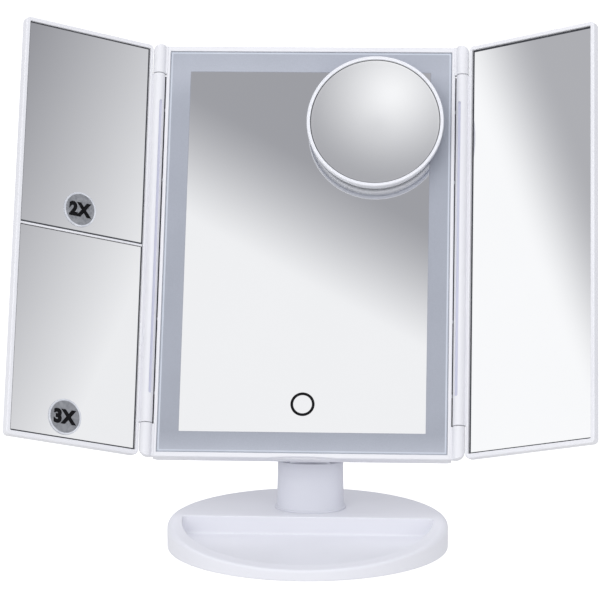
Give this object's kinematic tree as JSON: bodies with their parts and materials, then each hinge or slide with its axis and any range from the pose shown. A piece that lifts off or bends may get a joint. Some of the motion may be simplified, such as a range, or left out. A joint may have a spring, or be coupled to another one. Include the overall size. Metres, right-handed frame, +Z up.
{
  "type": "trifold vanity mirror",
  "caption": "Lighted tabletop vanity mirror with two folding wing mirrors, a removable round magnifier, a tilting neck and a round tray base.",
  "frame": {"origin": "on the ground under the middle of the round base", "axes": "+X to the right when facing the mirror, +Y away from the user towards the back, +Z up"},
  "size_m": [0.3165, 0.1939, 0.2819],
  "materials": {
    "shell_white": "satin gloss",
    "plate_plastic": "fine texture",
    "neck_plastic": "satin gloss",
    "ballast_steel": "raw plate",
    "foot_rubber": "matt",
    "screw_steel": "zinc plated",
    "bush_plastic": "smooth",
    "shaft_steel": "turned",
    "washer_steel": "spring steel",
    "mirror_glass": "silvered glass",
    "touch_ink": "printed",
    "sensor_copper": "bare copper",
    "diffuser_plastic": "milky",
    "strip_board": "white solder mask",
    "led_lens": "clear resin over phosphor",
    "tray_plastic": "smooth",
    "board_green": "solder mask",
    "chip_plastic": "moulded",
    "lead_sleeve": "smooth",
    "cell_jacket": "shrink sleeve",
    "contact_steel": "nickel plated",
    "badge_silver": "silver film",
    "mounting_tape": "foam",
    "cup_rubber": "clear soft rubber"
  },
  "bodies": {
    "stand": {"base_shell": "shell_white", "base_plate": "plate_plastic", "ballast_weight": "ballast_steel", "rubber_feet": "foot_rubber", "base_screws": "screw_steel", "neck": "neck_plastic", "neck_bolts": "screw_steel", "knuckle_bushes": "bush_plastic"},
    "head": {"tilt_shaft": "shaft_steel", "shaft_nut": "shaft_steel", "friction_washers": "washer_steel", "tilt_bracket": "shell_white", "bracket_screws": "screw_steel", "centre_frame": "shell_white", "hinge_pins": "shaft_steel", "main_mirror": "mirror_glass", "touch_mark": "touch_ink", "touch_sensor": "sensor_copper", "diffuser": "diffuser_plastic", "led_board": "strip_board", "leds": "led_lens", "light_tray": "tray_plastic", "control_board": "board_green", "control_components": "chip_plastic", "inner_leads": "lead_sleeve", "rear_cover": "shell_white", "cover_screws": "screw_steel", "battery_cells": "cell_jacket", "battery_contacts": "contact_steel", "usb_socket": "contact_steel"},
    "battery_door": {"battery_door": "shell_white"},
    "left_wing": {"left_wing_frame": "shell_white", "mirror_2x": "mirror_glass", "mirror_3x": "mirror_glass", "badge_2x": "badge_silver", "badge_3x": "badge_silver", "left_tape": "mounting_tape"},
    "right_wing": {"right_wing_frame": "shell_white", "right_mirror": "mirror_glass", "right_tape": "mounting_tape"},
    "spot_mirror": {"spot_housing": "shell_white", "spot_glass": "mirror_glass", "suction_cups": "cup_rubber"}
  },
  "joints": [
    {"name": "head_tilt", "type": "hinge", "parent": "stand", "child": "head", "pos_m": [0, 0.0291, 0.05], "axis": [-1, 0, 0], "range_deg": [-25.7, 19.3]},
    {"name": "left_wing_fold", "type": "hinge", "parent": "head", "child": "left_wing", "pos_m": [-0.0888, 0.00522, 0.05088], "axis": [0, 0.4337, 0.9011], "range_deg": [-34.7, 145.3]},
    {"name": "right_wing_fold", "type": "hinge", "parent": "head", "child": "right_wing", "pos_m": [0.0812, 0.00522, 0.05088], "axis": [0, -0.4337, -0.9011], "range_deg": [-31.7, 82]},
    {"name": "spot_mirror_pull", "type": "slide", "parent": "head", "child": "spot_mirror", "axis": [0, -0.9011, 0.4337], "range_m": [0, 0.008]},
    {"name": "battery_door_slide", "type": "slide", "parent": "head", "child": "battery_door", "axis": [0, 0.4337, 0.9011], "range_m": [0, 0.01]}
  ]
}
